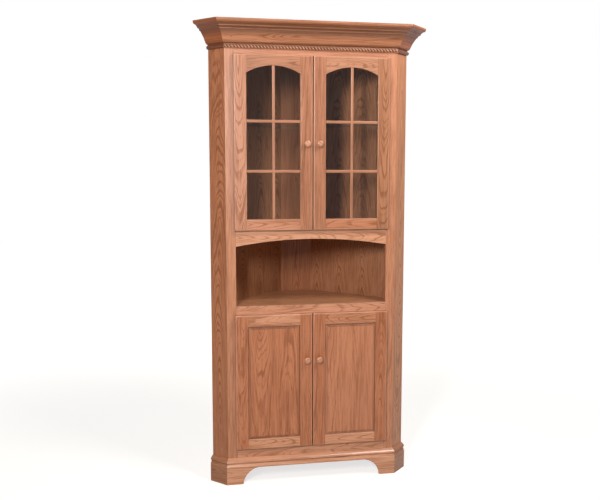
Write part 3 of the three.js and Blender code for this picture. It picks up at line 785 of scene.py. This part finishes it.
class CUPBOARD_OT_doors(bpy.types.Operator):
    """Finishes the frames, panels and muntins of the four doors"""

    bl_idname = "cupboard.doors"
    bl_label = "Doors"

    stile: length("Stile", 56 * MM, "Width of a door stile")
    muntin: length("Muntin", 14 * MM, "Width of a glazing bar")

    # How squarely a face looks to the front: less than this on a door's edge, on a bevel and on a flank
    edge_facing = 0.6
    bevel_facing = 0.999
    flank_facing = 0.95
    # Slope from which a face of a panel is a bevel
    bevel_slope = 0.02

    def execute(self, context):
        sizes = context.scene.cupboard_sizes
        for row in ("upper", "lower"):
            for side in ("left", "right"):
                self.finish_frame(row, side, sizes)
                if row == "lower":
                    self.finish_panel(f"{row}_{side}_panel", sizes)
                else:
                    self.finish_grille(f"{row}_{side}_grille", sizes)
        return {"FINISHED"}

    def finish_frame(self, row, side, sizes):
        """Two stiles and two rails, rounded outside and moulded round the opening."""
        door = f"{row}_{side}"
        bottom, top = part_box(f"{door}_bottom_rail")[1].z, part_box(f"{door}_top_rail")[0].z
        outer, inner = door_edges(door, self.stile, bottom, top)

        def open_edge(face):
            """A face of the door's edge, but not where two doors meet."""
            return (-face.normal.y < self.edge_facing and face.normal.y < TOUCH
                    and abs(face.calc_center_median().x) > self.muntin)

        for member in ("hinge_stile", "meeting_stile", "bottom_rail", "top_rail"):
            node = f"{door}_{member}"
            upright = member.endswith("stile")
            bm = solid_copy(node)
            if upright:
                cut(bm, (0, 0, bottom), (0, 0, 1))
                cut(bm, (0, 0, top), (0, 0, 1))
            round_edges(bm, sizes.door_rounding, outer, segments=3)
            # Painted shade, with some heavier stain, on the door's edge faces, but not where two doors meet
            darken_faces(bm, EDGE_STAIN_AND_SHADE, open_edge)
            round_edges(bm, sizes.sticking, inner, segments=3, wear_and_highlight=0.5)
            mark_boards(bm, node, UPRIGHT if upright else LEVEL, TONE_AND_PAINTED_LIGHT_OF[node],
                        figure=1.8 if "hinge" in member and row == "upper" else 1.2,
                        pith=STRAIGHT if "meeting" in member else ARCHED)
            place_piece(bm, f"{node}_board", node)

    def finish_panel(self, node, sizes):
        """A raised panel of two staves. Its top and bottom bevels, across the grain, are drawn darker, and
        its side bevels half as much: heavier stain and painted shade.

        The right one is sawn on the quarter, so that its figure runs straight and quiet.
        """
        def bevel(axis):
            """A test for the bevels that slope along an axis."""
            return lambda face: (-self.bevel_facing < face.normal.y < 0
                                 and abs(face.normal[axis]) > self.bevel_slope)

        bm = solid_copy(node)
        darken_faces(bm, BEVEL_STAIN_AND_SHADE, bevel(2))
        darken_faces(bm, BEVEL_STAIN_AND_SHADE / 2, bevel(0))
        round_edges(bm, sizes.board_arris)
        quarter = "right" in node
        mark_boards(bm, node, UPRIGHT, TONE_AND_PAINTED_LIGHT_OF[node], staves=2, figure=0.7 if quarter else 1.4,
                    pith=STRAIGHT if quarter else ARCHED)
        place_piece(bm, f"{node}_raised", node)

    def finish_grille(self, node, sizes):
        """Muntins with a moulded front; the bars across have their own grain."""
        low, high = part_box(node)
        centre = (low.x + high.x) / 2

        def moulded(edge):
            ends = [vert.co for vert in edge.verts]
            if any(abs(end.y - low.y) > TOUCH for end in ends):
                return False
            if abs(ends[0].x - ends[1].x) < TOUCH:
                return abs(ends[0].x - centre) < self.muntin
            return all(low.z + self.muntin < end.z < high.z - self.muntin for end in ends)

        def upright(face):
            return abs(face.calc_center_median().x - centre) < self.muntin / 2 + TOUCH

        bm = solid_copy(node)
        round_edges(bm, sizes.muntin_rounding, moulded, segments=3, wear_and_highlight=0.5)
        for side in (-1, 1):
            cut(bm, (centre + side * self.muntin / 2, 0, 0), (1, 0, 0), gap=WELD)
        # Painted shade on the bars' flanks and rounded edges, so that the bars look slimmer
        darken_faces(bm, MUNTIN_SHADE, lambda face: abs(face.normal.y) < self.flank_facing)
        mark_boards(bm, node, UPRIGHT, TONE_AND_PAINTED_LIGHT_OF[node], figure=0.4, pith=STRAIGHT, belongs=upright)
        mark_boards(bm, f"{node} bars", LEVEL, TONE_AND_PAINTED_LIGHT_OF[node], figure=0.4, pith=STRAIGHT,
                    belongs=lambda face: not upright(face))
        place_piece(bm, f"{node}_bars", node)


class CUPBOARD_OT_knobs(bpy.types.Operator):
    """Turns the four knobs"""

    bl_idname = "cupboard.knobs"
    bl_label = "Turned Knobs"

    steps: IntProperty(name="Steps", description="Facets round a knob before smoothing", min=8, default=24)

    # Share of the radius, share of the length from the seat to the tip
    profile_shares = (
        (0, 0), (0.5, 0), (0.5, 0.05), (0.42, 0.11), (0.34, 0.22), (0.33, 0.33), (0.42, 0.44), (0.7, 0.52),
        (0.95, 0.6), (1.03, 0.71), (0.98, 0.83), (0.8, 0.93), (0.5, 0.99), (0.2, 1), (0, 1),
    )

    def execute(self, context):
        for row in ("upper", "lower"):
            for side in ("left", "right"):
                self.turn_knob(f"{row}_{side}_knob")
        return {"FINISHED"}

    def turn_knob(self, node):
        low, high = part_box(node)
        centre = (low + high) / 2
        radius = (high.z - low.z) / 2
        bm = bmesh.new()
        add_marks(bm)
        verts = [
            bm.verts.new((centre.x + out * radius, high.y - reach * (high.y - low.y), centre.z))
            for out, reach in self.profile_shares
        ]
        edges = [bm.edges.new(pair) for pair in zip(verts, verts[1:])]
        bmesh.ops.spin(bm, geom=verts + edges, cent=centre, axis=(0, 1, 0), angle=2 * math.pi,
                       steps=self.steps, use_merge=True)
        bmesh.ops.remove_doubles(bm, verts=bm.verts, dist=WELD)
        bmesh.ops.recalc_face_normals(bm, faces=bm.faces)
        mark_boards(bm, node, TURNING, TONE_AND_PAINTED_LIGHT_OF[node], figure=0.6, pith=STRAIGHT, lean=0)
        piece = place_piece(bm, f"{node}_turned", node, weighted=False)
        smooth = piece.modifiers.new("Subdivision", "SUBSURF")
        smooth.levels = smooth.render_levels = 2


class CUPBOARD_OT_glass(bpy.types.Operator):
    """Glazes the upper doors and lays the glass shelves"""

    bl_idname = "cupboard.glass"
    bl_label = "Glass"

    ground_edge: length("Ground edge", 1.5 * MM, "Rounding of a glass shelf's edges")

    # Faces that look up or down less than this are of a shelf's ground edge
    level = 0.7

    def execute(self, context):
        for node, pane in NODES.items():
            if SLOT_OF[node] == "glass" and "shelf" in node:
                self.lay_shelf(node)
            elif SLOT_OF[node] == "glass":
                pane.data.materials.clear()
                pane.data.materials.append(material_for("glass"))
        return {"FINISHED"}

    def lay_shelf(self, node):
        """A shelf with pencil-ground edges, which are opaque and painted with the colour of the lit wood
        seen through them.
        """
        bm = solid_copy(node)
        round_edges(bm, self.ground_edge)
        for face in bm.faces:
            face.material_index = int(abs(face.normal.z) < self.level)
        shelf = place_piece(bm, f"{node}_ground", node)
        shelf.data.materials.append(material_for("ground_edge"))


class CUPBOARD_OT_hinges(bpy.types.Operator):
    """Finishes the concealed hinges"""

    bl_idname = "cupboard.hinges"
    bl_label = "Hinges"

    edge: length("Edge", 0.5 * MM, "Rounding of the pressed steel")

    def execute(self, context):
        for node in NODES:
            if SLOT_OF[node] == "nickel":
                bm = solid_copy(node)
                round_edges(bm, self.edge)
                place_piece(bm, f"{node}_steel", node)
        return {"FINISHED"}


class CUPBOARD_OT_stage(bpy.types.Operator):
    """Sets the floor, the lamps, the surroundings and the camera"""

    bl_idname = "cupboard.stage"
    bl_label = "Studio and Camera"

    def execute(self, context):
        studio = context.scene.cupboard_studio
        self.set_camera(context.scene)
        for name, (place, width, height, on_matt) in LAMPS.items():
            self.hang_lamp(name, place, width, height, on_matt, getattr(studio, name))
        self.light_room(context.scene, studio)
        self.lay_floor(studio)
        context.scene.view_settings.view_transform = "Standard"
        return {"FINISHED"}

    def set_camera(self, scene):
        data = bpy.data.cameras.new("camera")
        data.sensor_width = CAMERA_SENSOR
        data.lens = CAMERA_LENS
        camera = add_object("camera", data)
        right, sight = Vector(CAMERA_RIGHT), Vector(CAMERA_SIGHT)
        turn = Matrix((right, right.cross(sight), -sight)).transposed()
        camera.matrix_world = Matrix.Translation(CAMERA_PLACE) @ turn.to_4x4()
        scene.camera = camera

    def hang_lamp(self, name, place, width, height, on_matt, share):
        data = bpy.data.lights.new(name, "AREA")
        data.shape = "RECTANGLE"
        data.size, data.size_y = width, height
        lamp = add_object(name, data)
        lamp.location = place
        lamp.visible_diffuse = on_matt
        line = Vector(LAMP_AIM) - lamp.location
        lamp.rotation_euler = line.to_track_quat("-Z", "Y").to_euler()
        data.energy = share * math.pi ** 2 * line.length_squared

    def light_room(self, scene, studio):
        """White where it is seen or mirrored, and a soft even light everywhere else."""
        world = bpy.data.worlds.new("studio")
        scene.world = world
        world.use_nodes = True
        tree = world.node_tree
        tree.nodes.clear()
        soft, white = (
            put(tree, "ShaderNodeBackground", {"Color": (1, 1, 1, 1), "Strength": level}).outputs[0]
            for level in (studio.room, 1)
        )
        mix = put(tree, "ShaderNodeMixShader", {0: seen_rays(tree), 1: soft, 2: white}).outputs[0]
        tree.links.new(mix, put(tree, "ShaderNodeOutputWorld").inputs["Surface"])

    def lay_floor(self, studio):
        """Painted studio floor: matt and pale, and lifted so that only the shadow stays below white."""
        bm = bmesh.new()
        bmesh.ops.create_grid(bm, x_segments=1, y_segments=1, size=FLOOR_SIZE / 2)
        bmesh.ops.translate(bm, verts=bm.verts, vec=(0, 0, -FLOOR_DROP))
        mesh = bpy.data.meshes.new("studio_floor")
        bm.to_mesh(mesh)
        bm.free()
        material, tree, surface = blank_material("matt studio paint")
        paint = put(tree, "ShaderNodeBsdfDiffuse", {"Color": (*studio.floor, 1)}).outputs[0]
        distance = vector_length(tree, put(tree, "ShaderNodeTexCoord").outputs["Object"])
        far = remap(tree, distance, FLOOR_FADE, (FLOOR_LIFT, 1), smooth=True)
        lift = maths(tree, "MULTIPLY", seen_rays(tree), far)
        white = put(tree, "ShaderNodeEmission", {"Color": (1, 1, 1, 1), "Strength": lift}).outputs[0]
        tree.links.new(put(tree, "ShaderNodeAddShader", {0: paint, 1: white}).outputs[0], surface)
        mesh.materials.append(material)
        add_object("studio_floor", mesh)


SETTINGS = {"cupboard_oak": CupboardOak, "cupboard_sizes": CupboardSizes, "cupboard_studio": CupboardStudio}
OPERATORS = (
    CUPBOARD_OT_stage, CUPBOARD_OT_face_frame, CUPBOARD_OT_sides, CUPBOARD_OT_decks, CUPBOARD_OT_mouldings,
    CUPBOARD_OT_rope, CUPBOARD_OT_doors, CUPBOARD_OT_knobs, CUPBOARD_OT_glass, CUPBOARD_OT_hinges,
)


class CUPBOARD_PT_sidebar(bpy.types.Panel):
    """Lists the steps and settings of the cupboard"""

    bl_idname = "CUPBOARD_PT_sidebar"
    bl_label = "Corner Cupboard"
    bl_space_type = "VIEW_3D"
    bl_region_type = "UI"
    bl_category = "Cupboard"

    def draw(self, context):
        for name, group in SETTINGS.items():
            column = self.layout.column(align=True)
            for setting in group.__annotations__:
                column.prop(getattr(context.scene, name), setting)
        for operator in OPERATORS:
            self.layout.operator(operator.bl_idname)


def register():
    for name, group in SETTINGS.items():
        bpy.utils.register_class(group)
        setattr(bpy.types.Scene, name, PointerProperty(type=group))
    for part in (*OPERATORS, CUPBOARD_PT_sidebar):
        bpy.utils.register_class(part)


def unregister():
    for part in reversed((*OPERATORS, CUPBOARD_PT_sidebar)):
        bpy.utils.unregister_class(part)
    for name, group in reversed(SETTINGS.items()):
        delattr(bpy.types.Scene, name)
        bpy.utils.unregister_class(group)


def main():
    register()
    for operator in OPERATORS:
        group, name = operator.bl_idname.split(".")
        getattr(getattr(bpy.ops, group), name)()


if __name__ == "__main__":
    main()
